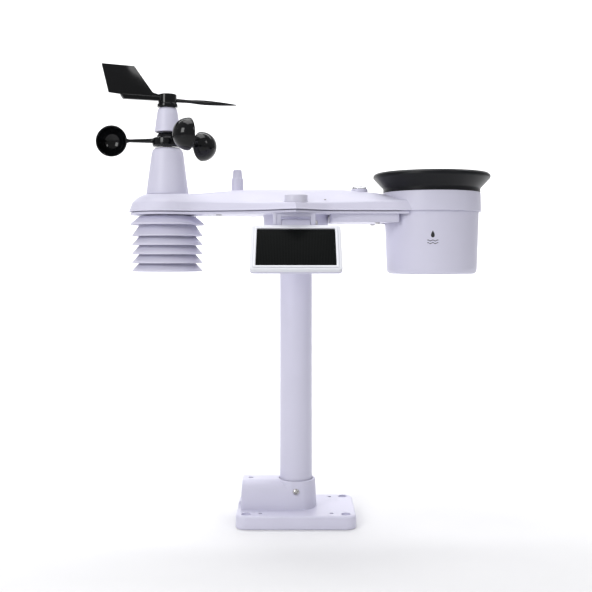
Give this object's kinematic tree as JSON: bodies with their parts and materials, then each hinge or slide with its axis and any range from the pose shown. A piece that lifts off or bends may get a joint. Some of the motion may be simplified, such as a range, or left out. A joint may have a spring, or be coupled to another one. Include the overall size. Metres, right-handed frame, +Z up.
{
  "type": "weather station",
  "caption": "Pole-mounted weather station with a wind vane, cup anemometer, radiation shield, tipping-bucket rain gauge and tilting solar panel on a screw-down foot.",
  "frame": {"origin": "on the pole's axis at the underside of the foot, at the centre of the corner screw holes", "axes": "+Z up the pole, +X towards the rain gauge, -Y the way the solar panel faces"},
  "size_m": [0.3435, 0.1414, 0.3908],
  "materials": {
    "shell_plastic": "fine satin moulded plastic",
    "stainless_steel": "turned and tumbled",
    "bright_steel": "ground and polished",
    "circuit_board": "green solder resist",
    "shield_can": "tinned sheet",
    "brass_rod": "drawn",
    "white_diffuser": "smooth satin",
    "clear_vial": "clear",
    "battery_wrap": "printed shrink wrap, left plain",
    "seal_rubber": "soft matte",
    "black_plastic": "fine grain",
    "lamp_lens": "clear tinted",
    "black_gloss": "polished moulding",
    "funnel_plastic": "semi-gloss moulding",
    "magnet_nickel": "nickel plate",
    "solar_glass": "dark cell under clear resin"
  },
  "bodies": {
    "station": {"foot": "shell_plastic", "pole": "shell_plastic", "pole_screws": "stainless_steel", "lower_shell": "shell_plastic", "upper_shell": "shell_plastic", "shell_gasket": "seal_rubber", "case_screws": "stainless_steel", "main_board": "circuit_board", "radio_module": "shield_can", "antenna_cover": "shell_plastic", "antenna_rod": "brass_rod", "light_cap": "white_diffuser", "light_sensor": "circuit_board", "level_ring": "shell_plastic", "level_vial": "clear_vial", "batteries": "battery_wrap", "battery_contacts": "bright_steel", "battery_door": "shell_plastic", "door_seal": "seal_rubber", "door_screws": "stainless_steel", "button_spring": "bright_steel", "status_lamp": "lamp_lens", "mast_column": "shell_plastic", "mast_tube": "stainless_steel", "speed_board": "circuit_board", "cup_bearings": "bright_steel", "vane_housing": "shell_plastic", "vane_board": "circuit_board", "vane_bearings": "bright_steel", "shield_plate_1": "shell_plastic", "shield_plate_2": "shell_plastic", "shield_plate_3": "shell_plastic", "shield_plate_4": "shell_plastic", "shield_plate_5": "shell_plastic", "shield_plate_6": "shell_plastic", "shield_screws": "stainless_steel", "sensor_board": "circuit_board", "sensor_cage": "white_diffuser", "rain_bucket": "shell_plastic", "drain_grilles": "shell_plastic", "tipper_frame": "white_diffuser", "reed_board": "circuit_board", "panel_bracket": "shell_plastic", "panel_bolt": "stainless_steel", "panel_nut": "stainless_steel"},
    "cups": {"cup_rotor": "black_gloss", "cup_magnets": "magnet_nickel"},
    "vane": {"wind_vane": "black_gloss", "vane_shaft": "stainless_steel", "vane_magnet": "magnet_nickel", "vane_screw": "stainless_steel"},
    "tipping_bucket": {"tipper": "black_plastic", "tipper_axle": "stainless_steel", "tipper_magnet": "magnet_nickel"},
    "funnel": {"rain_funnel": "funnel_plastic", "funnel_screen": "black_plastic"},
    "panel": {"panel_frame": "shell_plastic", "panel_back": "shell_plastic", "solar_cell": "solar_glass"},
    "button": {"reset_button": "black_plastic"}
  },
  "joints": [
    {"name": "cups_spin", "type": "hinge", "parent": "station", "child": "cups", "pos_m": [-0.112, 0, 0.3283], "axis": [0, 0, 1], "continuous": true},
    {"name": "vane_turn", "type": "hinge", "parent": "station", "child": "vane", "pos_m": [-0.112, 0, 0.363], "axis": [0, 0, 1], "continuous": true},
    {"name": "panel_tilt", "type": "hinge", "parent": "station", "child": "panel", "pos_m": [0, -0.043, 0.2542], "axis": [1, 0, 0], "range_deg": [-45, 30]},
    {"name": "tipper_rock", "type": "hinge", "parent": "station", "child": "tipping_bucket", "pos_m": [0.118, 0, 0.232], "axis": [0, 1, 0], "range_deg": [0, 32]},
    {"name": "funnel_lift", "type": "slide", "parent": "station", "child": "funnel", "axis": [0, 0, 1], "range_m": [0, 0.06]},
    {"name": "reset_press", "type": "slide", "parent": "station", "child": "button", "axis": [0, 0, 1], "range_m": [0, 0.0006], "stiffness_N_per_m": 800, "springref_m": -0.0004}
  ]
}
